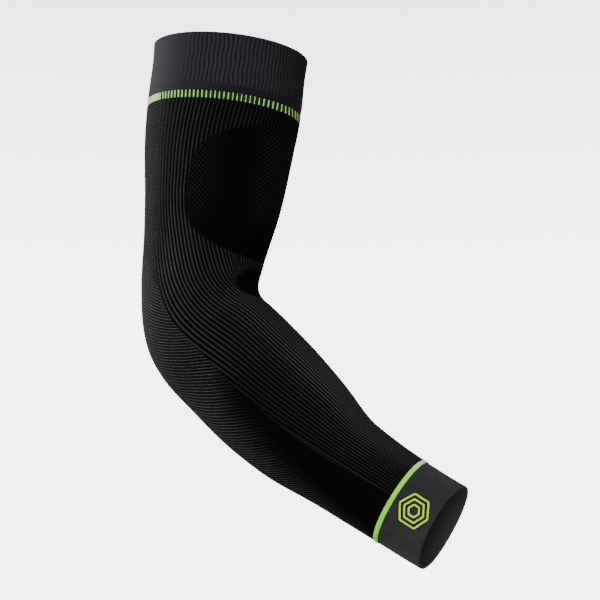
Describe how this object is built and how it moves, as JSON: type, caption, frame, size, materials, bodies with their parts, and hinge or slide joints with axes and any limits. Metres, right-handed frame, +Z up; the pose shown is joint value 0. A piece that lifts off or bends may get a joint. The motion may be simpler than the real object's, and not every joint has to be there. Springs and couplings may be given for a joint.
{
  "type": "arm compression sleeve",
  "caption": "Black ribbed knit arm sleeve bent at the elbow, with a dark grey upper band and wrist cuff, lime stripes and a raised emblem on the cuff.",
  "frame": {"origin": "middle of the elbow, on the sleeve's centre line, where the wearer's elbow sits", "axes": "+Z up along the upper arm, +X forward to the crook's side and the hand, +Y across the plane that the elbow bends in"},
  "size_m": [0.2306, 0.1018, 0.3738],
  "materials": {
    "knit_black": "matte ribbed knit",
    "band_grey": "matte double knit",
    "stripe_lime": "matte knit yarn",
    "emblem_lime": "satin raised print"
  },
  "bodies": {
    "root": {"upper_band": "band_grey", "top_stripe": "stripe_lime", "knit_sleeve": "knit_black", "wrist_stripe": "stripe_lime", "wrist_cuff": "band_grey", "emblem_outer": "emblem_lime", "emblem_middle": "emblem_lime", "emblem_inner": "emblem_lime"}
  },
  "joints": []
}
